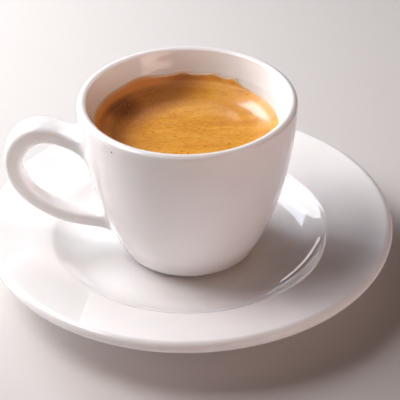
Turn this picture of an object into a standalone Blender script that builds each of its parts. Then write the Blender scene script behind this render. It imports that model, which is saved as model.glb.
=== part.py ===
"""Espresso in a white porcelain cup with one handle, standing on its round saucer.

The frame has its origin on the table, under the middle of the saucer, +Z up.
The handle points along -X. Lengths are in metres, written as millimetres times MM.
The saucer and the drink are turned profiles. The cup is a spun cage with two openings
in its wall, into which the handle's sections are lofted, under one Subdivision Surface.
"""
import math

import bmesh
import bpy
import numpy as np

MM = 0.001
GAP = 0.3 * MM

# Saucer
SAUCER_R = 61.0 * MM
SAUCER_EDGE_R = 1.8 * MM
SAUCER_EDGE_Z = 15.0 * MM
SAUCER_SHOULDER_R = 41.4 * MM
SAUCER_SHOULDER_Z = 12.2 * MM
SAUCER_SHOULDER_ROUND = 5.0 * MM
WELL_Z = 7.3 * MM
WELL_CORNER_R = 35.2 * MM
WELL_SWEEP = 19.0 * MM
SAUCER_THICK = 4.0 * MM
STAND_IN_R = 32.6 * MM
STAND_OUT_R = 36.4 * MM
STAND_ROUND = 0.8 * MM
STAND_TAPER = 0.6 * MM
STAND_STEP = 1.0 * MM
KNEE_OUT = 2.0 * MM
KNEE_ROUND = 6.0 * MM

# Cup
CUP_BASE_Z = WELL_Z + GAP
CUP_TOP_Z = 58.0 * MM
CUP_BASE_R = 18.1 * MM
CUP_BODY_R = 31.71 * MM
BULGE_TOP_Z = 57.0 * MM
BULGE_RISE = 1.724
BULGE_TURN = 0.731
LIP_ROUND = 1.4 * MM
WALL = 4.9 * MM
WALL_THINS_Z = 50.6 * MM
WALL_THIN_TURN = 0.8
HOLLOW_TOP_Z = 52.6 * MM
BOWL_TOP_Z = 26.2 * MM
BOWL_TURN = 0.9
INNER_FLOOR_Z = 14.2 * MM
INNER_FLOOR_R = 8.0 * MM
CAGE_SIDES = 32
# Foot, from the recess outwards: (radius, height above the cup's base)
FOOT_LINE = ((13.2, 1.5), (14.6, 0.8), (16.2, 0.0), (17.5, 0.15))
# Heights above the cup's base of the wall's lowest rings
LOW_RINGS = (1.1, 3.4)

# Handle: (distance from the cup's axis, height) down its middle line
HANDLE_LINE = (
    (35.0, 45.7), (40.0, 47.8), (44.9, 47.6), (48.9, 44.6), (51.0, 39.9), (51.1, 35.2),
    (49.6, 30.4), (46.6, 26.0), (42.0, 22.2), (36.4, 19.4), (30.0, 17.7),
)
# Half thickness and half width at shares of the way down the handle
HANDLE_HALF_THICK = ((0.0, 2.2), (0.15, 3.2), (0.3, 3.5), (0.5, 2.5), (0.75, 2.1), (1.0, 2.2))
HANDLE_HALF_WIDTH = ((0.0, 4.1), (0.15, 4.7), (0.3, 4.6), (0.5, 3.7), (0.75, 3.4), (1.0, 3.8))
SECTION_SIDES = 8
SECTION_POWER = 3.4
UPPER_ROOT = (41.0 * MM, 44.2 * MM, 47.4 * MM)
LOWER_ROOT = (14.6 * MM, 17.5 * MM, 20.5 * MM)

# Drink
DRINK_TOP_Z = 48.5 * MM

TURN_STEPS = 60
WELD = 0.01 * MM


def on_circle(centre, radius, angle):
    """The point on a circle at an angle in degrees."""
    turn = math.radians(angle)
    return centre[0] + radius * math.cos(turn), centre[1] + radius * math.sin(turn)


def arc(centre, radius, start, end, steps):
    """Points on a circle in the (radius, height) plane, angles in degrees."""
    return [on_circle(centre, radius, start + (end - start) * i / steps) for i in range(steps + 1)]


def rounded(before, corner, after, radius, steps):
    """The arc that rounds a corner of an outline between its two neighbours."""
    a, c, b = np.array(before), np.array(corner), np.array(after)
    to_a = (a - c) / np.linalg.norm(a - c)
    to_b = (b - c) / np.linalg.norm(b - c)
    half = math.acos(float(to_a @ to_b)) / 2
    middle = (to_a + to_b) / np.linalg.norm(to_a + to_b)
    centre = c + middle * radius / math.sin(half)
    start = c + to_a * radius / math.tan(half) - centre
    end = c + to_b * radius / math.tan(half) - centre
    turn = math.acos(max(-1.0, min(1.0, float(start @ end) / radius ** 2)))
    points = []
    for i in range(steps + 1):
        s = i / steps
        way = (math.sin((1 - s) * turn) * start + math.sin(s * turn) * end) / math.sin(turn)
        points.append(tuple(centre + way))
    return points


def cup_outer_radius(z):
    """The cup's outside: a bulge that leaves the foot at about 45 degrees and ends upright."""
    share = min(1.0, max(0.0, (z - WELL_Z) / (BULGE_TOP_Z - WELL_Z)))
    rise = (1 - (1 - share) ** BULGE_RISE) ** BULGE_TURN
    return CUP_BASE_R + (CUP_BODY_R - CUP_BASE_R) * rise


def cup_inner_radius(z):
    """The cup's inside: the outside less the wall, thinning to the lip's width at the top."""
    lip_z = CUP_TOP_Z - LIP_ROUND
    share = min(1.0, max(0.0, (z - WALL_THINS_Z) / (lip_z - WALL_THINS_Z)))
    wall = WALL + (2 * LIP_ROUND - WALL) * share ** WALL_THIN_TURN
    return cup_outer_radius(z) - wall


def cavity_profile(gap, top_z):
    """The hollow's outline from top_z down to the middle of its floor, shrunk by gap."""
    points = []
    wall_steps = 5
    for i in range(wall_steps + 1):
        z = top_z + (BOWL_TOP_Z - top_z) * i / wall_steps
        points.append((cup_inner_radius(z) - gap, z))
    bowl_r = cup_inner_radius(BOWL_TOP_Z) - INNER_FLOOR_R
    bowl_steps = 3
    for i in range(1, bowl_steps + 1):
        angle = math.pi / 2 * i / bowl_steps
        r = INNER_FLOOR_R + bowl_r * math.cos(angle) ** BOWL_TURN - gap
        z = BOWL_TOP_Z - (BOWL_TOP_Z - INNER_FLOOR_Z) * math.sin(angle) + gap
        points.append((r, z))
    return points


def through(points, closed=False):
    """Cage points whose subdivided curve passes through the given points."""
    q = np.array(points, dtype=float)
    n = len(q)
    m = np.zeros((n, n))
    for i in range(n):
        if not closed and i in (0, n - 1):
            m[i, i] = 1.0
            continue
        m[i, (i - 1) % n] += 1 / 6
        m[i, i] += 4 / 6
        m[i, (i + 1) % n] += 1 / 6
    return np.linalg.solve(m, q)


def porcelain(name):
    """White glazed porcelain."""
    material = bpy.data.materials.new(name)
    material.use_nodes = True
    shader = material.node_tree.nodes["Principled BSDF"]
    shader.inputs["Base Color"].default_value = (0.83, 0.81, 0.80, 1)
    shader.inputs["Roughness"].default_value = 0.12
    shader.inputs["Metallic"].default_value = 0.0
    return material


def coffee(name):
    """Golden brown crema on espresso."""
    material = bpy.data.materials.new(name)
    material.use_nodes = True
    shader = material.node_tree.nodes["Principled BSDF"]
    shader.inputs["Base Color"].default_value = (0.62, 0.28, 0.07, 1)
    shader.inputs["Roughness"].default_value = 0.45
    shader.inputs["Metallic"].default_value = 0.0
    return material


def add_object(name, mesh, material, collection):
    mesh.materials.append(material)
    mesh.shade_smooth()
    obj = bpy.data.objects.new(name, mesh)
    collection.objects.link(obj)
    return obj


def turned(name, profile, steps, material, collection):
    """A profile in the XZ plane, top to bottom down its outer side, turned about Z."""
    mesh = bpy.data.meshes.new(name)
    edges = [(i, i + 1) for i in range(len(profile) - 1)]
    mesh.from_pydata([(r, 0.0, z) for r, z in profile], edges, [])
    obj = add_object(name, mesh, material, collection)
    screw = obj.modifiers.new("turn", "SCREW")
    screw.axis = "Z"
    screw.angle = math.tau
    screw.steps = steps
    screw.render_steps = steps
    screw.use_merge_vertices = True
    screw.merge_threshold = WELD
    screw.use_smooth_shade = True
    return obj


def saucer_profile():
    """Well, shoulder and flange above; rounded edge; flange, stand ring and base below."""
    floor = (0.0, WELL_Z)
    well_corner = (WELL_CORNER_R, WELL_Z)
    shoulder = (SAUCER_SHOULDER_R, SAUCER_SHOULDER_Z)
    edge = (SAUCER_R - SAUCER_EDGE_R, SAUCER_EDGE_Z)
    slope = math.atan2(edge[1] + SAUCER_EDGE_R - shoulder[1], edge[0] - shoulder[0])
    tilt = math.degrees(slope)
    edge_top = on_circle(edge, SAUCER_EDGE_R, 90 + tilt)
    edge_under = on_circle(edge, SAUCER_EDGE_R, tilt - 90)
    under_knee = (shoulder[0] + KNEE_OUT, shoulder[1] - SAUCER_THICK)
    stand_top = (STAND_OUT_R, WELL_Z - SAUCER_THICK + STAND_STEP)
    stand_out = (STAND_OUT_R - STAND_TAPER, 0.0)
    stand_in = (STAND_IN_R + STAND_TAPER, 0.0)
    base_edge = (STAND_IN_R, WELL_Z - SAUCER_THICK)
    base = (0.0, WELL_Z - SAUCER_THICK)
    points = [floor]
    points += rounded(floor, well_corner, shoulder, WELL_SWEEP, 6)
    points += rounded(well_corner, shoulder, edge_top, SAUCER_SHOULDER_ROUND, 3)
    points += arc(edge, SAUCER_EDGE_R, 90 + tilt, tilt - 90, 6)
    points += rounded(edge_under, under_knee, stand_top, KNEE_ROUND, 2)
    points += [stand_top]
    points += rounded(stand_top, stand_out, stand_in, STAND_ROUND, 2)
    points += rounded(stand_out, stand_in, base_edge, STAND_ROUND, 2)
    points += [base_edge, base]
    return points


def spaced(start, end, parts):
    """The heights that divide a span into equal parts, without its ends."""
    return [start + (end - start) * i / parts for i in range(1, parts)]


def cup_rings():
    """The cup's outline from the underside's middle, up the outside and down the inside."""
    lip = (CUP_BODY_R - LIP_ROUND, CUP_TOP_Z - LIP_ROUND)
    points = [(r * MM, CUP_BASE_Z + z * MM) for r, z in FOOT_LINE]
    low = [CUP_BASE_Z + z * MM for z in LOW_RINGS]
    between = spaced(LOWER_ROOT[-1], UPPER_ROOT[0], 5)
    high = spaced(UPPER_ROOT[-1], lip[1], 3)
    for z in [*low, *LOWER_ROOT, *between, *UPPER_ROOT, *high]:
        points.append((cup_outer_radius(z), z))
    points += arc(lip, LIP_ROUND, 0, 180, 4)
    points += cavity_profile(0.0, HOLLOW_TOP_Z)
    return points


def at_share(table, share):
    """A value read from (share, value) pairs, in metres."""
    shares, values = zip(*table)
    return float(np.interp(share, shares, values)) * MM


def handle_sections():
    """Cage rings of the handle, from its upper root to its lower one."""
    line = np.array(HANDLE_LINE) * MM
    cage = through(line)
    corner = 2 / SECTION_POWER
    unit = []
    for k in range(SECTION_SIDES):
        angle = math.tau * k / SECTION_SIDES
        x, y = math.cos(angle), math.sin(angle)
        unit.append((math.copysign(abs(x) ** corner, x), math.copysign(abs(y) ** corner, y)))
    unit = through(unit, closed=True)
    rings = []
    for i in range(len(line)):
        ahead = line[min(i + 1, len(line) - 1)] - line[max(i - 1, 0)]
        ahead /= np.linalg.norm(ahead)
        out = np.array((-ahead[1], ahead[0]))
        share = i / (len(line) - 1)
        thick = at_share(HANDLE_HALF_THICK, share)
        wide = at_share(HANDLE_HALF_WIDTH, share)
        ring = []
        for across, outwards in unit:
            s, z = cage[i] + out * outwards * thick
            ring.append((-s, across * wide, z))
        rings.append(ring)
    return rings


def open_root(bm, ring_heights, cage_heights):
    """Take a block of four wall faces out at -X, around one handle root."""
    low, high = cage_heights[ring_heights[0]], cage_heights[ring_heights[-1]]
    reach = 1.5 * math.pi / CAGE_SIDES
    taken = []
    for face in bm.faces:
        c = face.calc_center_median()
        angle = abs(math.atan2(c.y, -c.x))
        outside = math.hypot(c.x, c.y) > cup_outer_radius(c.z) - WALL / 2
        if outside and low < c.z < high and angle < reach:
            taken.append(face)
    before = {e for e in bm.edges if e.is_boundary}
    bmesh.ops.delete(bm, geom=taken, context="FACES")
    return [e for e in bm.edges if e.is_boundary and e not in before]


def make_cup(collection):
    """Cup and handle as one closed body."""
    profile = cup_rings()
    cage = through(profile)
    widen = 3 / (2 + math.cos(math.tau / CAGE_SIDES))
    heights = {z: float(cage[i][1]) for i, (r, z) in enumerate(profile)}
    bm = bmesh.new()
    verts = [bm.verts.new((r * widen, 0.0, z)) for r, z in cage]
    edges = [bm.edges.new(pair) for pair in zip(verts, verts[1:])]
    bmesh.ops.spin(bm, geom=verts + edges, axis=(0, 0, 1), cent=(0, 0, 0), angle=math.tau,
                   steps=CAGE_SIDES, use_merge=True)
    bmesh.ops.remove_doubles(bm, verts=bm.verts, dist=WELD)
    bmesh.ops.holes_fill(bm, edges=[e for e in bm.edges if e.is_boundary], sides=0)
    loops = [open_root(bm, UPPER_ROOT, heights)]
    lower_root = open_root(bm, LOWER_ROOT, heights)
    for ring in handle_sections():
        ring_verts = [bm.verts.new(p) for p in ring]
        loops.append([bm.edges.new((ring_verts[k - 1], ring_verts[k])) for k in range(SECTION_SIDES)])
    loops.append(lower_root)
    for upper, lower in zip(loops, loops[1:]):
        bmesh.ops.bridge_loops(bm, edges=upper + lower)
    bmesh.ops.recalc_face_normals(bm, faces=bm.faces)
    mesh = bpy.data.meshes.new("cup")
    bm.to_mesh(mesh)
    bm.free()
    obj = add_object("cup", mesh, porcelain("cup_porcelain"), collection)
    smooth = obj.modifiers.new("smooth", "SUBSURF")
    smooth.levels = 1
    smooth.render_levels = 1
    return obj


def make_saucer(collection):
    """The saucer, turned in one piece with its stand ring."""
    return turned("saucer", saucer_profile(), TURN_STEPS, porcelain("saucer_porcelain"), collection)


def make_drink(collection):
    """The espresso, as a solid that fills the cup up to its crema."""
    profile = [(0.0, DRINK_TOP_Z)]
    profile += cavity_profile(GAP, DRINK_TOP_Z)
    profile += [(0.0, INNER_FLOOR_Z + GAP)]
    return turned("espresso", profile, TURN_STEPS, coffee("crema_brown"), collection)


def main():
    for obj in list(bpy.data.objects):
        bpy.data.objects.remove(obj)
    collection = bpy.data.collections.new("espresso_shot")
    bpy.context.scene.collection.children.link(collection)
    make_saucer(collection)
    make_cup(collection)
    make_drink(collection)


main()
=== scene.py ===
"""Looks of an espresso served in its white porcelain cup on a saucer.

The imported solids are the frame. The cup, the saucer and the drink are made again as fine
meshes of the same form, and the crema gets its wall film, its bubbles and its flecks.
Lengths are written as millimetres times MM, in the frame's own axes.
"""
import math
import random

import bmesh
import bpy
import numpy as np
from mathutils import Matrix, Vector, noise


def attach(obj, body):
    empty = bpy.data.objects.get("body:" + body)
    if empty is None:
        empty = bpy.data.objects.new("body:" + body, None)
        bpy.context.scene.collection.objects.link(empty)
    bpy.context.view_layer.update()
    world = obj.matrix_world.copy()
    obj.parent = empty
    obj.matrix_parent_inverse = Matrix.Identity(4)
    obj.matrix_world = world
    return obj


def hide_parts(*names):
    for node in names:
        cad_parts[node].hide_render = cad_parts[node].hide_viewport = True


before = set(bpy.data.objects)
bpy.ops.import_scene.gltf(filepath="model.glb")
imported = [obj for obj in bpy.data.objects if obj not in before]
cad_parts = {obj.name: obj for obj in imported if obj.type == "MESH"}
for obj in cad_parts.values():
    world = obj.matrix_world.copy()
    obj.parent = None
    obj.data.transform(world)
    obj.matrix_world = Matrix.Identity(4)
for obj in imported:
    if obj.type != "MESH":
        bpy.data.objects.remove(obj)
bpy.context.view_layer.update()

MM = 0.001
BODY = "root"

# Saucer, as in the solid
SAUCER_R = 61.0 * MM
SAUCER_EDGE_R = 1.8 * MM
SAUCER_EDGE_Z = 15.0 * MM
SAUCER_SHOULDER_R = 41.4 * MM
SAUCER_SHOULDER_Z = 12.2 * MM
SAUCER_SHOULDER_ROUND = 5.0 * MM
WELL_Z = 7.3 * MM
WELL_CORNER_R = 35.2 * MM
WELL_SWEEP = 19.0 * MM
SAUCER_THICK = 4.0 * MM
STAND_IN_R = 32.6 * MM
STAND_OUT_R = 36.4 * MM
STAND_ROUND = 0.8 * MM
STAND_TAPER = 0.6 * MM
STAND_STEP = 1.0 * MM
KNEE_OUT = 2.0 * MM
KNEE_ROUND = 6.0 * MM

# Cup, as in the solid
GAP = 0.3 * MM
CUP_BASE_Z = WELL_Z + GAP
CUP_TOP_Z = 58.0 * MM
CUP_BASE_R = 18.1 * MM
CUP_BODY_R = 31.71 * MM
BULGE_TOP_Z = 57.0 * MM
BULGE_RISE = 1.724
BULGE_TURN = 0.731
LIP_ROUND = 1.4 * MM
WALL = 4.9 * MM
WALL_THINS_Z = 50.6 * MM
WALL_THIN_TURN = 0.8
HOLLOW_TOP_Z = 52.6 * MM
BOWL_TOP_Z = 26.2 * MM
BOWL_TURN = 0.9
INNER_FLOOR_Z = 14.2 * MM
INNER_FLOOR_R = 8.0 * MM
CAGE_SIDES = 32
# Foot, from the recess outwards: (radius, height above the cup's base)
FOOT_LINE = ((13.2, 1.5), (14.6, 0.8), (16.2, 0.0), (17.5, 0.15))
# Smoothed points nearer than this to the wall's exact form are moved on to it
TRUE_TO = 0.4 * MM
# Heights above the cup's base of the wall's lowest rings
LOW_RINGS = (1.1, 3.4)

# Handle, as in the solid: (distance from the cup's axis, height) down its middle line
HANDLE_LINE = (
    (35.0, 45.7), (40.0, 47.8), (44.9, 47.6), (48.9, 44.6), (51.0, 39.9), (51.1, 35.2),
    (49.6, 30.4), (46.6, 26.0), (42.0, 22.2), (36.4, 19.4), (30.0, 17.7),
)
HANDLE_HALF_THICK = ((0.0, 2.2), (0.15, 3.2), (0.3, 3.5), (0.5, 2.5), (0.75, 2.1), (1.0, 2.2))
HANDLE_HALF_WIDTH = ((0.0, 4.1), (0.15, 4.7), (0.3, 4.6), (0.5, 3.7), (0.75, 3.4), (1.0, 3.8))
SECTION_SIDES = 8
SECTION_POWER = 3.4
UPPER_ROOT = (41.0 * MM, 44.2 * MM, 47.4 * MM)
LOWER_ROOT = (14.6 * MM, 17.5 * MM, 20.5 * MM)

# Drink: its level in the middle, and how it climbs to its edge on the wall
LEVEL_Z = 46.3 * MM
EDGE_Z = 48.8 * MM
CLIMB_REACH = 8.5 * MM
INTO_WALL = 0.15 * MM
FILM_THICK = 0.13 * MM
# Crema left on the wall above the edge, where the cup was tipped and set down:
# (degrees round the cup, half width in degrees, height in mm, steepness of its ends)
FILM_PATCHES = (
    (185, 75, 2.4, 4),
    (120, 12, 1.5, 2),
    (93, 5, 0.6, 2),
    (80, 28, 1.5, 4),
    (72, 5, 0.7, 2),
    (58, 4, 1.0, 2),
)
FILM_EVERYWHERE = 0.1 * MM
# How ragged the film's edge is: (height, lumps over the unit circle's radius, layer of the noise)
FILM_RAGGED = (0.12 * MM, 9, 4.2)
COVER = "crema_cover"
# The film thins from this share of its height upwards, and hides this much less at the top
FILM_THINS_FROM = 0.72
FILM_THINS_BY = 0.85
# The crema's surface: how it bends upwards, and its slope inside the wall
CLIMB_TURN = 1.5
SLOPE_IN_WALL = 2
# Its slow swell and fine ripple, which die out this near the wall:
# (height, length along X, length along Y, layer of the noise)
SWELL = (0.04 * MM, 9 * MM, 5 * MM, 1.7)
RIPPLE = (0.004 * MM, 2.2 * MM, 1.4 * MM, 6.1)
CALM_WITHIN = 3 * MM
# Distances from the wall of the crema's outer rings, in mm, closest where its film bends
OUTER_RINGS = (
    0.0, 0.03, 0.06, 0.1, 0.14, 0.2, 0.27, 0.36, 0.5, 0.7, 0.95, 1.25, 1.6, 2.0, 2.5, 3.1, 3.8, 4.6,
)
INNER_RINGS = 22
DOWN_RINGS = 12

# Bubbles at the wall: (degrees round the cup, spread in degrees, distance from the wall in mm,
# spread in mm, how many)
BUBBLE_GROUPS = (
    (49, 5, 0.8, 0.5, 7),
    (352, 8, 1.2, 0.5, 3),
)
BUBBLE_R = 0.42 * MM
SMALLEST_BUBBLE = 0.45
BUBBLE_SUNK = 0.1 * MM
SEED = 7

# Fineness of the meshes, and the distances within which their seams are welded
FINE_STEPS = 192
DRINK_STEPS = 384
CUP_SMOOTHINGS = 3
BUBBLE_SPLITS = 3
TURN_CORE = 1.0 * MM
TURN_WELD = 0.002 * MM
POLE_WELD = 0.001 * MM
CAGE_WELD = 0.01 * MM
# Heights up to which a foot is left bare of glaze
CUP_FOOT_BARE = 0.12 * MM
STAND_BARE = 0.15 * MM

# Real sizes of the finishes' patterns. The biscuit's grit and the foam's cells are finer than
# this on the real set, and are drawn this coarse so that they show.
GLAZE_CLOUD = 14 * MM
GLAZE_WAVE = 5 * MM
GLAZE_WAVE_DEEP = 0.05 * MM
BISCUIT_GRIT = 0.4 * MM
STREAK = 9 * MM
POOL = 15 * MM
MOTTLE = 1.5 * MM
FLECK_CELL = 1.7 * MM
FOAM_CELL = 0.45 * MM
FOAM_DEEP = 0.1 * MM
BUBBLE_CLOUD = 0.9 * MM
# A dark speck in the cup's glaze
SPECK_AT = (-21.1 * MM, -23.6 * MM, 55.0 * MM)
SPECK_CORE = 0.16 * MM
SPECK_EDGE = 0.42 * MM

# The crema is darkest away from this point, towards the back left, where a painted shadow of the cup's
# rim lies over its own darker tone
DARK_SIDE = (9.5 * MM, -7.0 * MM, 0.0)
# Its darkest spot, at the left: the darkest crema under the deepest of the painted rim shadow
SHADOW_AND_DARK_SPOT = (-20.5 * MM, 13.5 * MM, 0.0)
# A browner band is drawn across it, this far behind its middle
BAND_Y = 4.5 * MM
# Where each tone of the crema shows, as a share of a measure that crema_measures takes:
# (measure, from, to, share at the first, share at the second, how it turns)
CREMA_MASKS = {
    "pools": ("pool_noise", 0.42, 0.68, 0.0, 0.55, "LINEAR"),
    "spots": ("mottle_noise", 0.5, 0.7, 0.0, 0.6, "LINEAR"),
    "near_band": ("off_band", 0.3 * MM, 2.6 * MM, 0.6, 0.0, "SMOOTHSTEP"),
    "patchy": ("mottle_noise", 0.38, 0.62, 0.3, 1.0, "LINEAR"),
    # Where the painted rim shadow and the darker crema lie, at the back left
    "rim_shadow_and_dark_crescent": ("off_side", 22.0 * MM, 31.0 * MM, 0.0, 0.9, "SMOOTHSTEP"),
    "left_half": ("X", 9 * MM, -4 * MM, 0.0, 1.0, "SMOOTHSTEP"),
    "near_wall": ("radius", 21.4 * MM, 23.8 * MM, 0.0, 1.0, "SMOOTHSTEP"),
    "far_left": ("X", -11 * MM, -21 * MM, 0.0, 1.0, "SMOOTHSTEP"),
    # The deepest of the painted rim shadow, over the darkest crema
    "rim_shadow_and_dark_spot": ("off_spot", 2.5 * MM, 9.0 * MM, 0.72, 0.0, "SMOOTHSTEP"),
    "on_wall": ("Z", EDGE_Z - 0.8 * MM, EDGE_Z + 0.2 * MM, 0.0, 1.0, "SMOOTHSTEP"),
    # Painted bounce light on the film at the left wall
    "painted_bounce_left": ("X", 1 * MM, -10 * MM, 0.0, 0.85, "SMOOTHSTEP"),
    "flecks": ("fleck_depth", 0.0, 0.2, 0.0, 0.9, "LINEAR"),
    "off_wall": ("radius", 22.5 * MM, 24.0 * MM, 1.0, 0.0, "LINEAR"),
    "froth": ("foam", 0.0, 0.6, 0.18, 0.0, "LINEAR"),
    "roughness": ("radius", 23.5 * MM, 24.5 * MM, 0.25, 0.6, "LINEAR"),
    "wet_off_wall": ("radius", 23.7 * MM, 24.9 * MM, 1.0, 0.25, "SMOOTHSTEP"),
    "wet_at_right": ("X", 0.0, 11 * MM, 0.55, 1.0, "SMOOTHSTEP"),
}
# The tones over the gold, from the lowest, painted rim shadow and painted bounce light among them:
# (masks that are multiplied, colour)
CREMA_TONES = (
    (("pools",), "#D18A30"),
    (("spots",), "#CC7A20"),
    (("near_band", "patchy"), "#D07E1C"),
    # Painted shadow of the cup's rim, over a darker crema, at the back left
    (("rim_shadow_and_dark_crescent", "left_half"), "#9F5B27"),
    # A lighter, oranger band at the left wall: partly the film's own tone, partly painted bounce light
    (("far_left", "near_wall"), "#DC8A44"),
    # Painted rim shadow at its deepest, over the darkest crema, at the left
    (("rim_shadow_and_dark_spot",), "#5E2806"),
    # Painted bounce light: the film on the left wall drawn lighter
    (("painted_bounce_left", "on_wall"), "#F2A24C"),
    (("flecks", "off_wall"), "#B05C18"),
    (("froth",), "#F4CE8A"),
)

# Camera, from the photograph's own perspective
LENS_MM = 139.5
CAMERA_BACK = 382.88 * MM
CAMERA_Z = 284.78 * MM
CAMERA_PITCH = 0.600717
CAMERA_YAW = 0.0085034
CAMERA_ROLL = -0.0136345
LIGHTS_AIM = (0.0, 0.0, 30.0 * MM)
FLOOR_HALF = 1.5
ROOM_GLOW = 0.02

# Softboxes: (name, degrees from +X, elevation, distance in m, width, height, watts, colour)
STUDIO_LIGHTS = (
    ("key_softbox", 176, 56, 0.42, 0.20, 0.16, 0.74, "#FFFBFF"),
    ("window_softbox", 147, 35, 0.42, 0.32, 0.24, 1.5, "#FCFFFD"),
    ("crema_softbox", 117, 42, 0.42, 0.12, 0.13, 0.34, "#E4ECFF"),
    ("backdrop_glow", 152, 9, 1.0, 0.80, 0.30, 7.4, "#FFEEF3"),
    ("horizon_strip", 106, 12, 1.0, 0.36, 0.07, 0.30, "#FFF4F0"),
    ("low_strip", 106, 3, 1.0, 0.36, 0.03, 0.12, "#FFF4F0"),
    ("low_front_fill", 335, 2, 1.0, 0.60, 0.30, 0.8, "#D8DCFF"),
    ("front_fill", 325, 25, 1.0, 0.60, 0.60, 1.7, "#FFCCB2"),
    ("warm_fill", 305, 2, 1.0, 0.60, 0.30, 2.05, "#FFE8E5"),
)


def on_circle(centre, radius, angle):
    """The point on a circle at an angle in degrees."""
    turn = math.radians(angle)
    return centre[0] + radius * math.cos(turn), centre[1] + radius * math.sin(turn)


def arc(centre, radius, start, end, steps):
    """Points on a circle in the (radius, height) plane, angles in degrees."""
    return [on_circle(centre, radius, start + (end - start) * i / steps) for i in range(steps + 1)]


def rounded(before, corner, after, radius, steps):
    """The arc that rounds a corner of an outline between its two neighbours."""
    a, c, b = np.array(before), np.array(corner), np.array(after)
    to_a = (a - c) / np.linalg.norm(a - c)
    to_b = (b - c) / np.linalg.norm(b - c)
    half = math.acos(float(to_a @ to_b)) / 2
    middle = (to_a + to_b) / np.linalg.norm(to_a + to_b)
    centre = c + middle * radius / math.sin(half)
    start = c + to_a * radius / math.tan(half) - centre
    end = c + to_b * radius / math.tan(half) - centre
    turn = math.acos(max(-1.0, min(1.0, float(start @ end) / radius ** 2)))
    points = []
    for i in range(steps + 1):
        s = i / steps
        way = (math.sin((1 - s) * turn) * start + math.sin(s * turn) * end) / math.sin(turn)
        points.append(tuple(centre + way))
    return points


def cup_outer_radius(z):
    """The cup's outside: a bulge that leaves the foot at about 45 degrees and ends upright."""
    share = min(1.0, max(0.0, (z - WELL_Z) / (BULGE_TOP_Z - WELL_Z)))
    rise = (1 - (1 - share) ** BULGE_RISE) ** BULGE_TURN
    return CUP_BASE_R + (CUP_BODY_R - CUP_BASE_R) * rise


def cup_inner_radius(z):
    """The cup's inside: the outside less the wall, thinning to the lip's width at the top."""
    lip_z = CUP_TOP_Z - LIP_ROUND
    share = min(1.0, max(0.0, (z - WALL_THINS_Z) / (lip_z - WALL_THINS_Z)))
    wall = WALL + (2 * LIP_ROUND - WALL) * share ** WALL_THIN_TURN
    return cup_outer_radius(z) - wall


def bowl_profile(gap, steps):
    """The rounded bottom of the hollow, without its first point, shrunk by gap."""
    reach = cup_inner_radius(BOWL_TOP_Z) - INNER_FLOOR_R
    points = []
    for i in range(1, steps + 1):
        angle = math.pi / 2 * i / steps
        r = INNER_FLOOR_R + reach * max(0.0, math.cos(angle)) ** BOWL_TURN - gap
        z = BOWL_TOP_Z - (BOWL_TOP_Z - INNER_FLOOR_Z) * math.sin(angle) + gap
        points.append((r, z))
    return points


def cavity_profile(top_z):
    """The hollow's outline from top_z down to the edge of its floor."""
    heights = [top_z + (BOWL_TOP_Z - top_z) * i / 5 for i in range(6)]
    return [(cup_inner_radius(z), z) for z in heights] + bowl_profile(0.0, 3)


def through(points, closed=False):
    """Cage points whose subdivided curve passes through the given points."""
    q = np.array(points, dtype=float)
    n = len(q)
    m = np.zeros((n, n))
    for i in range(n):
        if not closed and i in (0, n - 1):
            m[i, i] = 1.0
            continue
        m[i, (i - 1) % n] += 1 / 6
        m[i, i] += 4 / 6
        m[i, (i + 1) % n] += 1 / 6
    return np.linalg.solve(m, q)


def linear(hex_colour):
    """An sRGB hex colour as the linear value that a socket takes."""
    channels = [int(hex_colour[i:i + 2], 16) / 255 for i in (1, 3, 5)]
    return (*[c / 12.92 if c <= 0.04045 else ((c + 0.055) / 1.055) ** 2.4 for c in channels], 1.0)


def add(tree, kind, inputs=None, **settings):
    """Add a node, set its settings, and set or link its inputs."""
    made = tree.nodes.new(kind)
    for key, value in settings.items():
        setattr(made, key, value)
    for key, value in (inputs or {}).items():
        if isinstance(value, bpy.types.NodeSocket):
            tree.links.new(value, made.inputs[key])
        else:
            made.inputs[key].default_value = value
    return made


def ramp_points(ramp_node, points):
    """Give a colour ramp its stops."""
    elements = ramp_node.color_ramp.elements
    while len(elements) < len(points):
        elements.new(0.5)
    for element, (place, colour) in zip(elements, points):
        element.position = place
        element.color = colour


def new_material(name):
    """A new material, with its node tree and its shader."""
    material = bpy.data.materials.new(name)
    material.use_nodes = True
    return material, material.node_tree, material.node_tree.nodes["Principled BSDF"]


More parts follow.
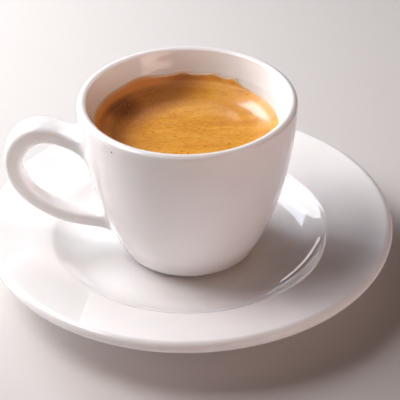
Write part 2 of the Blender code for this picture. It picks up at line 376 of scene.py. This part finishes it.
def glazed_porcelain(name, speck=None):
    """Hard porcelain, glazed and fired: a bluish-clear glass skin over a white body."""
    material, tree, shader = new_material(name)
    shader.inputs["IOR"].default_value = 1.52
    where = add(tree, "ShaderNodeTexCoord").outputs["Object"]
    cloud = add(tree, "ShaderNodeTexNoise", {"Vector": where, "Scale": 1 / GLAZE_CLOUD, "Detail": 2.0})
    tone = add(tree, "ShaderNodeValToRGB", {"Fac": cloud.outputs["Fac"]})
    ramp_points(tone, [(0.3, linear("#F3F1F0")), (0.7, linear("#F6F5F4"))])
    colour = tone.outputs["Color"]
    if speck is not None:
        offset = add(tree, "ShaderNodeVectorMath", {0: where, 1: speck}, operation="DISTANCE")
        edge = add(tree, "ShaderNodeMapRange", {"Value": offset.outputs["Value"], "From Min": SPECK_CORE,
                                                "From Max": SPECK_EDGE, "To Min": 1.0, "To Max": 0.0})
        specked = add(tree, "ShaderNodeMix", {"Factor": edge.outputs["Result"], "A": colour,
                                              "B": linear("#8A7F7C")}, data_type="RGBA")
        colour = specked.outputs["Result"]
    tree.links.new(colour, shader.inputs["Base Color"])
    wave = add(tree, "ShaderNodeTexNoise", {"Vector": where, "Scale": 1 / GLAZE_WAVE, "Detail": 1.0})
    rough = add(tree, "ShaderNodeMapRange", {"Value": wave.outputs["Fac"], "To Min": 0.02,
                                             "To Max": 0.05})
    tree.links.new(rough.outputs["Result"], shader.inputs["Roughness"])
    bump = add(tree, "ShaderNodeBump", {"Height": wave.outputs["Fac"], "Strength": 0.03,
                                        "Distance": GLAZE_WAVE_DEEP})
    tree.links.new(bump.outputs["Normal"], shader.inputs["Normal"])
    shader.inputs["Subsurface Weight"].default_value = 0.3
    shader.inputs["Subsurface Radius"].default_value = (1.0, 0.75, 0.6)
    shader.inputs["Subsurface Scale"].default_value = 2.5 * MM
    return material


def bare_biscuit():
    """Unglazed fired porcelain, where a foot ring stood in the kiln: matt and a little grey."""
    material, tree, shader = new_material("bare_porcelain_biscuit")
    where = add(tree, "ShaderNodeTexCoord").outputs["Object"]
    grit = add(tree, "ShaderNodeTexNoise", {"Vector": where, "Scale": 1 / BISCUIT_GRIT, "Detail": 3.0})
    tone = add(tree, "ShaderNodeValToRGB", {"Fac": grit.outputs["Fac"]})
    ramp_points(tone, [(0.35, linear("#CFC9C2")), (0.65, linear("#DEDAD4"))])
    tree.links.new(tone.outputs["Color"], shader.inputs["Base Color"])
    shader.inputs["Roughness"].default_value = 0.7
    return material


def crema_measures(tree, where):
    """What the crema's tones go by, by name: each point's place in the cup, and the noises."""
    apart = add(tree, "ShaderNodeSeparateXYZ", {"Vector": where})
    flat = add(tree, "ShaderNodeCombineXYZ", {"X": apart.outputs["X"], "Y": apart.outputs["Y"]})
    on_plan = flat.outputs["Vector"]
    radius = add(tree, "ShaderNodeVectorMath", {0: on_plan}, operation="LENGTH")
    off_side = add(tree, "ShaderNodeVectorMath", {0: on_plan, 1: DARK_SIDE}, operation="DISTANCE")
    off_spot = add(tree, "ShaderNodeVectorMath", {0: on_plan, 1: SHADOW_AND_DARK_SPOT}, operation="DISTANCE")
    behind = add(tree, "ShaderNodeMath", {0: apart.outputs["Y"], 1: BAND_Y}, operation="SUBTRACT")
    off_band = add(tree, "ShaderNodeMath", {0: behind.outputs["Value"]}, operation="ABSOLUTE")
    pool = add(tree, "ShaderNodeTexNoise", {"Vector": where, "Scale": 1 / POOL, "Detail": 2.0})
    drawn = add(tree, "ShaderNodeMapping", {"Vector": where, "Scale": (1.0, 2.2, 1.0)})
    mottle = add(tree, "ShaderNodeTexNoise", {"Vector": drawn.outputs["Vector"], "Scale": 1 / MOTTLE,
                                              "Detail": 3.0, "Roughness": 0.6})
    cells = add(tree, "ShaderNodeTexVoronoi", {"Vector": on_plan, "Scale": 1 / FLECK_CELL})
    lot = add(tree, "ShaderNodeSeparateColor", {"Color": cells.outputs["Color"]})
    size = add(tree, "ShaderNodeMapRange", {"Value": lot.outputs["Red"], "From Min": 0.35,
                                            "From Max": 1.0, "To Min": 0.0, "To Max": 0.3})
    depth = add(tree, "ShaderNodeMath", {0: size.outputs["Result"], 1: cells.outputs["Distance"]},
                operation="SUBTRACT")
    foam = add(tree, "ShaderNodeTexVoronoi", {"Vector": where, "Scale": 1 / FOAM_CELL})
    return {
        "X": apart.outputs["X"],
        "Z": apart.outputs["Z"],
        "radius": radius.outputs["Value"],
        "off_side": off_side.outputs["Value"],
        "off_spot": off_spot.outputs["Value"],
        "off_band": off_band.outputs["Value"],
        "pool_noise": pool.outputs["Fac"],
        "mottle_noise": mottle.outputs["Fac"],
        "fleck_depth": depth.outputs["Value"],
        "foam": foam.outputs["Distance"],
    }


def crema_masks(tree, measures):
    """Each mask of the crema by name, read off its measure."""
    masks = {}
    for name, (measure, start, end, at_start, at_end, turn) in CREMA_MASKS.items():
        mask = add(tree, "ShaderNodeMapRange", {"Value": measures[measure], "From Min": start,
                                                "From Max": end, "To Min": at_start, "To Max": at_end},
                   interpolation_type=turn)
        masks[name] = mask.outputs["Result"]
    return masks


def together(tree, masks, names):
    """The product of one or more masks."""
    product = masks[names[0]]
    for name in names[1:]:
        product = add(tree, "ShaderNodeMath", {0: product, 1: masks[name]},
                      operation="MULTIPLY").outputs["Value"]
    return product


def crema_colour(tree, where, masks):
    """Gold in drawn-out streaks, with the crema's other tones laid over it, painted rim shadow and
    painted bounce light among them.
    """
    drawn = add(tree, "ShaderNodeMapping", {"Vector": where, "Scale": (1.0, 3.0, 1.0)})
    streaks = add(tree, "ShaderNodeTexNoise", {"Vector": drawn.outputs["Vector"], "Scale": 1 / STREAK,
                                               "Detail": 3.0, "Roughness": 0.5})
    gold = add(tree, "ShaderNodeValToRGB", {"Fac": streaks.outputs["Fac"]})
    ramp_points(gold, [(0.3, linear("#E69A34")), (0.5, linear("#F1A93E")), (0.7, linear("#F6B552"))])
    colour = gold.outputs["Color"]
    for names, tone in CREMA_TONES:
        laid = add(tree, "ShaderNodeMix", {"Factor": together(tree, masks, names), "A": colour,
                                           "B": linear(tone)}, data_type="RGBA")
        colour = laid.outputs["Result"]
    return colour


def crema_material():
    """Crema: fine wet coffee foam with a soft gloss, duller and paler where it thins on the wall."""
    material, tree, shader = new_material("fine_wet_crema")
    where = add(tree, "ShaderNodeTexCoord").outputs["Object"]
    measures = crema_measures(tree, where)
    masks = crema_masks(tree, measures)
    cover = add(tree, "ShaderNodeAttribute", attribute_name=COVER)
    stained = add(tree, "ShaderNodeMix", {"Factor": cover.outputs["Fac"], "A": linear("#EBD3B4"),
                                          "B": crema_colour(tree, where, masks)}, data_type="RGBA")
    tree.links.new(stained.outputs["Result"], shader.inputs["Base Color"])
    grain = add(tree, "ShaderNodeBump", {"Height": measures["foam"], "Strength": 0.1,
                                         "Distance": FOAM_DEEP})
    tree.links.new(grain.outputs["Normal"], shader.inputs["Normal"])
    tree.links.new(masks["roughness"], shader.inputs["Roughness"])
    wet = together(tree, masks, ("wet_off_wall", "wet_at_right"))
    tree.links.new(wet, shader.inputs["Coat Weight"])
    shader.inputs["Coat Roughness"].default_value = 0.09
    shader.inputs["IOR"].default_value = 1.5
    return material


def make_object(name, mesh, materials=()):
    """A new object in the scene, with its mesh and materials."""
    obj = bpy.data.objects.new(name, mesh)
    bpy.context.scene.collection.objects.link(obj)
    for material in materials:
        obj.data.materials.append(material)
    return obj


def baked(obj, name):
    """The evaluated object as one plain mesh object, with its modifiers gone."""
    depsgraph = bpy.context.evaluated_depsgraph_get()
    mesh = bpy.data.meshes.new_from_object(obj.evaluated_get(depsgraph))
    mesh.name = name
    bpy.data.objects.remove(obj)
    return make_object(name, mesh)


def turning_tree():
    """Geometry Nodes: sweep a profile line round the Z axis and close its poles."""
    tree = bpy.data.node_groups.new("turn_on_wheel", "GeometryNodeTree")
    face = tree.interface
    face.new_socket("Profile", in_out="INPUT", socket_type="NodeSocketGeometry")
    steps = face.new_socket("Steps", in_out="INPUT", socket_type="NodeSocketInt")
    core = face.new_socket("Core Radius", in_out="INPUT", socket_type="NodeSocketFloat")
    glaze = face.new_socket("Finish", in_out="INPUT", socket_type="NodeSocketMaterial")
    face.new_socket("Turned", in_out="OUTPUT", socket_type="NodeSocketGeometry")
    steps.default_value = FINE_STEPS
    core.default_value = TURN_CORE
    given = add(tree, "NodeGroupInput").outputs
    line = add(tree, "GeometryNodeMeshToCurve", {"Mesh": given["Profile"]})
    wheel = add(tree, "GeometryNodeCurvePrimitiveCircle", {"Resolution": given["Steps"],
                                                           "Radius": given["Core Radius"]})
    swept = add(tree, "GeometryNodeCurveToMesh", {"Curve": wheel.outputs["Curve"],
                                                  "Profile Curve": line.outputs["Curve"]})
    welded = add(tree, "GeometryNodeMergeByDistance", {"Geometry": swept.outputs["Mesh"],
                                                       "Distance": TURN_WELD})
    smooth = add(tree, "GeometryNodeSetShadeSmooth", {"Geometry": welded.outputs["Geometry"]})
    real = add(tree, "GeometryNodeRealizeInstances", {"Geometry": smooth.outputs["Geometry"]})
    painted = add(tree, "GeometryNodeSetMaterial", {"Geometry": real.outputs["Geometry"],
                                                    "Material": given["Finish"]})
    add(tree, "NodeGroupOutput", {"Turned": painted.outputs["Geometry"]})
    return tree, {"steps": steps.identifier, "core": core.identifier, "finish": glaze.identifier}


def turned(name, profile, material, tree, sockets):
    """A profile of (radius, height) points turned into a closed body about Z."""
    mesh = bpy.data.meshes.new(name)
    edges = [(i, i + 1) for i in range(len(profile) - 1)]
    mesh.from_pydata([(r - TURN_CORE, -z, 0.0) for r, z in profile], edges, [])
    obj = make_object(name + "_profile", mesh)
    modifier = obj.modifiers.new("turn", "NODES")
    modifier.node_group = tree
    modifier[sockets["steps"]] = FINE_STEPS
    modifier[sockets["core"]] = TURN_CORE
    modifier[sockets["finish"]] = material
    return baked(obj, name)


def outward(obj):
    """Point every face of a closed body outwards."""
    bm = bmesh.new()
    bm.from_mesh(obj.data)
    bmesh.ops.remove_doubles(bm, verts=bm.verts, dist=POLE_WELD)
    bmesh.ops.recalc_face_normals(bm, faces=bm.faces)
    bm.to_mesh(obj.data)
    bm.free()
    obj.data.shade_smooth()


def saucer_profile():
    """Well, shoulder and flange above; rounded edge; flange, stand ring and base below."""
    floor = (0.0, WELL_Z)
    well_corner = (WELL_CORNER_R, WELL_Z)
    shoulder = (SAUCER_SHOULDER_R, SAUCER_SHOULDER_Z)
    edge = (SAUCER_R - SAUCER_EDGE_R, SAUCER_EDGE_Z)
    slope = math.atan2(edge[1] + SAUCER_EDGE_R - shoulder[1], edge[0] - shoulder[0])
    tilt = math.degrees(slope)
    edge_top = on_circle(edge, SAUCER_EDGE_R, 90 + tilt)
    edge_under = on_circle(edge, SAUCER_EDGE_R, tilt - 90)
    under_knee = (shoulder[0] + KNEE_OUT, shoulder[1] - SAUCER_THICK)
    stand_top = (STAND_OUT_R, WELL_Z - SAUCER_THICK + STAND_STEP)
    stand_out = (STAND_OUT_R - STAND_TAPER, 0.0)
    stand_in = (STAND_IN_R + STAND_TAPER, 0.0)
    base_edge = (STAND_IN_R, WELL_Z - SAUCER_THICK)
    base = (0.0, WELL_Z - SAUCER_THICK)
    points = [floor]
    points += rounded(floor, well_corner, shoulder, WELL_SWEEP, 24)
    points += rounded(well_corner, shoulder, edge_top, SAUCER_SHOULDER_ROUND, 8)
    points += arc(edge, SAUCER_EDGE_R, 90 + tilt, tilt - 90, 24)
    points += rounded(edge_under, under_knee, stand_top, KNEE_ROUND, 8)
    points += rounded(under_knee, stand_top, stand_out, STAND_STEP, 4)
    points += rounded(stand_top, stand_out, stand_in, STAND_ROUND, 8)
    points += rounded(stand_out, stand_in, base_edge, STAND_ROUND, 8)
    points += rounded(stand_in, base_edge, base, STAND_ROUND, 4)
    points += [base]
    return points


def spaced(start, end, parts):
    """The values that divide a span into equal parts, without its ends."""
    return [start + (end - start) * i / parts for i in range(1, parts)]


def cup_rings():
    """The cup's outline from the underside's middle, up the outside and down the inside."""
    lip = (CUP_BODY_R - LIP_ROUND, CUP_TOP_Z - LIP_ROUND)
    points = [(r * MM, CUP_BASE_Z + z * MM) for r, z in FOOT_LINE]
    low = [CUP_BASE_Z + z * MM for z in LOW_RINGS]
    between = spaced(LOWER_ROOT[-1], UPPER_ROOT[0], 5)
    high = spaced(UPPER_ROOT[-1], lip[1], 3)
    for z in [*low, *LOWER_ROOT, *between, *UPPER_ROOT, *high]:
        points.append((cup_outer_radius(z), z))
    points += arc(lip, LIP_ROUND, 0, 180, 4)
    points += cavity_profile(HOLLOW_TOP_Z)
    return points


def at_share(table, share):
    """A value read from (share, value) pairs, in metres."""
    shares, values = zip(*table)
    return float(np.interp(share, shares, values)) * MM


def handle_sections():
    """Cage rings of the handle, from its upper root to its lower one."""
    line = np.array(HANDLE_LINE) * MM
    cage = through(line)
    corner = 2 / SECTION_POWER
    unit = []
    for k in range(SECTION_SIDES):
        angle = math.tau * k / SECTION_SIDES
        x, y = math.cos(angle), math.sin(angle)
        unit.append((math.copysign(abs(x) ** corner, x), math.copysign(abs(y) ** corner, y)))
    unit = through(unit, closed=True)
    rings = []
    for i in range(len(line)):
        ahead = line[min(i + 1, len(line) - 1)] - line[max(i - 1, 0)]
        ahead /= np.linalg.norm(ahead)
        out = np.array((-ahead[1], ahead[0]))
        share = i / (len(line) - 1)
        thick = at_share(HANDLE_HALF_THICK, share)
        wide = at_share(HANDLE_HALF_WIDTH, share)
        ring = []
        for across, outwards in unit:
            s, z = cage[i] + out * outwards * thick
            ring.append((-s, across * wide, z))
        rings.append(ring)
    return rings


def open_root(bm, ring_heights, cage_heights):
    """Take a block of four wall faces out at -X, around one handle root."""
    low, high = cage_heights[ring_heights[0]], cage_heights[ring_heights[-1]]
    reach = 1.5 * math.pi / CAGE_SIDES
    taken = []
    for face in bm.faces:
        c = face.calc_center_median()
        angle = abs(math.atan2(c.y, -c.x))
        outside = math.hypot(c.x, c.y) > cup_outer_radius(c.z) - WALL / 2
        if outside and low < c.z < high and angle < reach:
            taken.append(face)
    before = {e for e in bm.edges if e.is_boundary}
    bmesh.ops.delete(bm, geom=taken, context="FACES")
    return [e for e in bm.edges if e.is_boundary and e not in before]


def cup_cage():
    """Cup and handle as one closed cage."""
    profile = cup_rings()
    cage = through(profile)
    widen = 3 / (2 + math.cos(math.tau / CAGE_SIDES))
    heights = {z: float(cage[i][1]) for i, (r, z) in enumerate(profile)}
    bm = bmesh.new()
    verts = [bm.verts.new((r * widen, 0.0, z)) for r, z in cage]
    edges = [bm.edges.new(pair) for pair in zip(verts, verts[1:])]
    bmesh.ops.spin(bm, geom=verts + edges, axis=(0, 0, 1), cent=(0, 0, 0), angle=math.tau,
                   steps=CAGE_SIDES, use_merge=True)
    bmesh.ops.remove_doubles(bm, verts=bm.verts, dist=CAGE_WELD)
    bmesh.ops.holes_fill(bm, edges=[e for e in bm.edges if e.is_boundary], sides=0)
    loops = [open_root(bm, UPPER_ROOT, heights)]
    lower_root = open_root(bm, LOWER_ROOT, heights)
    for ring in handle_sections():
        ring_verts = [bm.verts.new(p) for p in ring]
        loops.append([bm.edges.new((ring_verts[k - 1], ring_verts[k])) for k in range(SECTION_SIDES)])
    loops.append(lower_root)
    for upper, lower in zip(loops, loops[1:]):
        bmesh.ops.bridge_loops(bm, edges=upper + lower)
    bmesh.ops.recalc_face_normals(bm, faces=bm.faces)
    mesh = bpy.data.meshes.new("cup_cage")
    bm.to_mesh(mesh)
    bm.free()
    return mesh


def assign_foot(obj, top_z, low_r, high_r):
    """Give the lowest faces of a foot ring the second material."""
    for face in obj.data.polygons:
        c = face.center
        if c.z < top_z and low_r < math.hypot(c.x, c.y) < high_r:
            face.material_index = 1


def trued(mesh):
    """Bring the wall of the smoothed cage on to its exact form, away from the handle's roots."""
    for vertex in mesh.vertices:
        x, y, z = vertex.co
        if not BOWL_TOP_Z < z < HOLLOW_TOP_Z:
            continue
        r = math.hypot(x, y)
        for exact in (cup_outer_radius(z), cup_inner_radius(z)):
            off = abs(r - exact)
            if off < TRUE_TO:
                share = off / TRUE_TO
                keep = share * share * (3 - 2 * share)
                scale = (exact + (r - exact) * keep) / r
                vertex.co = (x * scale, y * scale, z)
                break


def make_cup():
    """Cup and handle, smoothed from their cage, with the foot ring left bare."""
    obj = make_object("cup_cage", cup_cage())
    smooth = obj.modifiers.new("smooth", "SUBSURF")
    smooth.levels = CUP_SMOOTHINGS
    smooth.render_levels = CUP_SMOOTHINGS
    cup = baked(obj, "cup_glazed")
    trued(cup.data)
    cup.data.shade_smooth()
    cup.data.materials.append(glazed_porcelain("cup_porcelain_clear_glaze", speck=SPECK_AT))
    cup.data.materials.append(bare_biscuit())
    assign_foot(cup, CUP_BASE_Z + CUP_FOOT_BARE, FOOT_LINE[1][0] * MM, CUP_BASE_R)
    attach(cup, BODY)
    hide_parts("cup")


def make_saucer():
    """The saucer, turned from its outline, with its stand ring left bare."""
    glaze = glazed_porcelain("saucer_porcelain_clear_glaze")
    tree, sockets = turning_tree()
    saucer = turned("saucer_glazed", saucer_profile(), glaze, tree, sockets)
    outward(saucer)
    saucer.data.materials.append(bare_biscuit())
    assign_foot(saucer, STAND_BARE, STAND_IN_R, STAND_OUT_R)
    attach(saucer, BODY)
    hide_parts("saucer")


def film_height(angle):
    """How high the crema clings to the wall above the drink's edge, at an angle in degrees."""
    height = FILM_EVERYWHERE
    for centre, half_width, rise, steepness in FILM_PATCHES:
        away = abs((angle - centre + 180) % 360 - 180) / half_width
        height += rise * MM * math.exp(-away ** steepness)
    rag, lumps, layer = FILM_RAGGED
    x, y = on_circle((0, 0), lumps, angle)
    return max(0.0, height + rag * noise.noise(Vector((x, y, layer))))


def waves(x, y, wave):
    """The height of the crema's swell or ripple over a point."""
    height, along_x, along_y, layer = wave
    return height * noise.noise(Vector((x / along_x, y / along_y, layer)))


def crema_point(angle, from_wall):
    """A point of the crema's surface, at an angle in degrees and a distance from the wall."""
    near = max(0.0, from_wall)
    climb = max(0.0, 1 - near / CLIMB_REACH) ** CLIMB_TURN
    z = LEVEL_Z + (EDGE_Z - LEVEL_Z) * climb
    z += film_height(angle) * math.exp(-near / FILM_THICK) + SLOPE_IN_WALL * max(0.0, -from_wall)
    r = max(0.0, cup_inner_radius(z) - from_wall)
    x, y = on_circle((0, 0), r, angle)
    calm = min(1.0, near / CALM_WITHIN)
    z += calm * (waves(x, y, SWELL) + waves(x, y, RIPPLE))
    return x, y, z


def film_cover(point):
    """How fully the crema hides the wall: 1 on the drink, less at its film's upper edge."""
    x, y, z = point
    angle = math.degrees(math.atan2(y, x))
    share = (z - EDGE_Z) / max(film_height(angle), FILM_EVERYWHERE / 2)
    thin = (share - FILM_THINS_FROM) / (1 - FILM_THINS_FROM)
    return 1.0 - FILM_THINS_BY * min(1.0, max(0.0, thin))


def make_drink():
    """The drink out to just inside the wall, with its edge and its film on the wall."""
    last = OUTER_RINGS[-1] * MM
    steps_in = [-INTO_WALL] + [d * MM for d in OUTER_RINGS]
    steps_in += spaced(last, cup_inner_radius(LEVEL_Z), INNER_RINGS)
    bm = bmesh.new()
    rings = []
    angles = [360 * k / DRINK_STEPS for k in range(DRINK_STEPS)]
    for from_wall in reversed(steps_in):
        rings.append([bm.verts.new(crema_point(a, from_wall)) for a in angles])
    for i in range(1, DOWN_RINGS + 1):
        ring = []
        for a in angles:
            top = crema_point(a, -INTO_WALL)[2]
            z = top + (BOWL_TOP_Z - top) * i / DOWN_RINGS
            x, y = on_circle((0, 0), cup_inner_radius(z) + INTO_WALL, a)
            ring.append(bm.verts.new((x, y, z)))
        rings.append(ring)
    for r, z in bowl_profile(-INTO_WALL, 8):
        rings.append([bm.verts.new((*on_circle((0, 0), r, a), z)) for a in angles])
    for upper, lower in zip(rings, rings[1:]):
        for k in range(DRINK_STEPS):
            bm.faces.new((upper[k - 1], upper[k], lower[k], lower[k - 1]))
    for ring, z in ((rings[0], LEVEL_Z), (rings[-1], INNER_FLOOR_Z - INTO_WALL)):
        pole = bm.verts.new((0.0, 0.0, z))
        for k in range(DRINK_STEPS):
            bm.faces.new((ring[k - 1], ring[k], pole))
    bmesh.ops.recalc_face_normals(bm, faces=bm.faces)
    bm.verts.index_update()
    mesh = bpy.data.meshes.new("espresso_with_crema")
    bm.to_mesh(mesh)
    bm.free()
    mesh.shade_smooth()
    cover = mesh.attributes.new(COVER, "FLOAT", "POINT")
    for place, vertex in zip(cover.data, mesh.vertices):
        place.value = film_cover(vertex.co)
    drink = make_object("espresso_with_crema", mesh, [crema_material()])
    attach(drink, BODY)
    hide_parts("espresso")


def bubble_tree():
    """Geometry Nodes: a round bubble on every point, each of a random size."""
    tree = bpy.data.node_groups.new("froth_bubbles", "GeometryNodeTree")
    face = tree.interface
    face.new_socket("Points", in_out="INPUT", socket_type="NodeSocketGeometry")
    largest = face.new_socket("Largest Radius", in_out="INPUT", socket_type="NodeSocketFloat")
    seed = face.new_socket("Seed", in_out="INPUT", socket_type="NodeSocketInt")
    skin = face.new_socket("Finish", in_out="INPUT", socket_type="NodeSocketMaterial")
    face.new_socket("Bubbles", in_out="OUTPUT", socket_type="NodeSocketGeometry")
    largest.default_value = BUBBLE_R
    seed.default_value = SEED
    given = add(tree, "NodeGroupInput").outputs
    ball = add(tree, "GeometryNodeMeshIcoSphere", {"Radius": given["Largest Radius"],
                                                   "Subdivisions": BUBBLE_SPLITS})
    round_ball = add(tree, "GeometryNodeSetShadeSmooth", {"Geometry": ball.outputs["Mesh"]})
    size = add(tree, "FunctionNodeRandomValue", {2: SMALLEST_BUBBLE, 3: 1.0, "Seed": given["Seed"]},
               data_type="FLOAT")
    placed = add(tree, "GeometryNodeInstanceOnPoints", {"Points": given["Points"],
                                                        "Instance": round_ball.outputs["Geometry"],
                                                        "Scale": size.outputs[1]})
    real = add(tree, "GeometryNodeRealizeInstances", {"Geometry": placed.outputs["Instances"]})
    painted = add(tree, "GeometryNodeSetMaterial", {"Geometry": real.outputs["Geometry"],
                                                    "Material": given["Finish"]})
    add(tree, "NodeGroupOutput", {"Bubbles": painted.outputs["Geometry"]})
    return tree, {"largest": largest.identifier, "seed": seed.identifier, "finish": skin.identifier}


def bubble_skin():
    """The thin, glossy skin of a coffee bubble, paler than the fine foam round it."""
    material, tree, shader = new_material("coffee_bubble_skin")
    where = add(tree, "ShaderNodeTexCoord").outputs["Object"]
    cloud = add(tree, "ShaderNodeTexNoise", {"Vector": where, "Scale": 1 / BUBBLE_CLOUD, "Detail": 1.0})
    tone = add(tree, "ShaderNodeValToRGB", {"Fac": cloud.outputs["Fac"]})
    ramp_points(tone, [(0.35, linear("#DC964A")), (0.65, linear("#F8D296"))])
    tree.links.new(tone.outputs["Color"], shader.inputs["Base Color"])
    shader.inputs["Roughness"].default_value = 0.08
    return material


def make_bubbles():
    """Small bubbles, sunk in the crema, where it meets the wall."""
    draw = random.Random(SEED)
    skin = bubble_skin()
    points = []
    for around, spread, off_wall, off_spread, count in BUBBLE_GROUPS:
        for _ in range(count):
            angle = draw.gauss(around, spread / 2)
            x, y, z = crema_point(angle, max(BUBBLE_R, draw.gauss(off_wall, off_spread / 2) * MM))
            points.append((x, y, z - BUBBLE_SUNK))
    mesh = bpy.data.meshes.new("bubble_points")
    mesh.from_pydata(points, [], [])
    obj = make_object("bubble_points", mesh)
    tree, sockets = bubble_tree()
    modifier = obj.modifiers.new("bubbles", "NODES")
    modifier.node_group = tree
    modifier[sockets["largest"]] = BUBBLE_R
    modifier[sockets["seed"]] = SEED
    modifier[sockets["finish"]] = skin
    bubbles = baked(obj, "crema_bubbles")
    # The balls bring an empty slot with them
    bubbles.data.materials.clear()
    bubbles.data.materials.append(skin)
    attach(bubbles, BODY)


def make_floor():
    """A plain floor of pale, matt paper."""
    mesh = bpy.data.meshes.new("studio_floor")
    corners = [(x * FLOOR_HALF, y * FLOOR_HALF, 0.0) for x, y in ((-1, -1), (1, -1), (1, 1), (-1, 1))]
    mesh.from_pydata(corners, [], [(0, 1, 2, 3)])
    material, tree, shader = new_material("pale_studio_floor")
    shader.inputs["Base Color"].default_value = linear("#D6D2CF")
    shader.inputs["Roughness"].default_value = 0.8
    floor = make_object("studio_floor", mesh, [material])


def make_camera():
    """The photograph's viewpoint: above and in front, looking down at the cup's axis."""
    forward = Vector((math.sin(CAMERA_YAW) * math.cos(CAMERA_PITCH),
                      math.cos(CAMERA_YAW) * math.cos(CAMERA_PITCH), -math.sin(CAMERA_PITCH)))
    level = Vector((math.cos(CAMERA_YAW), -math.sin(CAMERA_YAW), 0.0))
    lift = level.cross(forward)
    right = math.cos(CAMERA_ROLL) * level + math.sin(CAMERA_ROLL) * lift
    up = -math.sin(CAMERA_ROLL) * level + math.cos(CAMERA_ROLL) * lift
    turn = Matrix((right, up, -forward)).transposed().to_4x4()
    data = bpy.data.cameras.new("studio_camera")
    data.lens = LENS_MM
    data.sensor_width = 36.0
    data.clip_start = 0.01
    camera = bpy.data.objects.new("studio_camera", data)
    camera.matrix_world = Matrix.Translation((0.0, -CAMERA_BACK, CAMERA_Z)) @ turn
    bpy.context.scene.collection.objects.link(camera)
    bpy.context.scene.camera = camera


def make_light(name, azimuth, elevation, distance, width, height, power, colour):
    """A softbox that faces the cup from a direction, in degrees from +X."""
    a, e = math.radians(azimuth), math.radians(elevation)
    way = Vector((math.cos(a) * math.cos(e), math.sin(a) * math.cos(e), math.sin(e)))
    data = bpy.data.lights.new(name, "AREA")
    data.shape = "RECTANGLE"
    data.size = width
    data.size_y = height
    data.energy = power
    data.color = linear(colour)[:3]
    lamp = bpy.data.objects.new(name, data)
    lamp.rotation_euler = way.to_track_quat("Z", "Y").to_euler()
    lamp.location = way * distance + Vector(LIGHTS_AIM)
    bpy.context.scene.collection.objects.link(lamp)


def make_studio():
    """The floor, the camera, a faint glow all round and the softboxes."""
    make_floor()
    make_camera()
    world = bpy.data.worlds.new("studio_world")
    world.use_nodes = True
    world.node_tree.nodes["Background"].inputs["Color"].default_value = linear("#E8E4E2")
    world.node_tree.nodes["Background"].inputs["Strength"].default_value = ROOM_GLOW
    bpy.context.scene.world = world
    bpy.context.scene.view_settings.view_transform = "Standard"
    for softbox in STUDIO_LIGHTS:
        make_light(*softbox)


def main():
    make_saucer()
    make_cup()
    make_drink()
    make_bubbles()
    make_studio()


main()
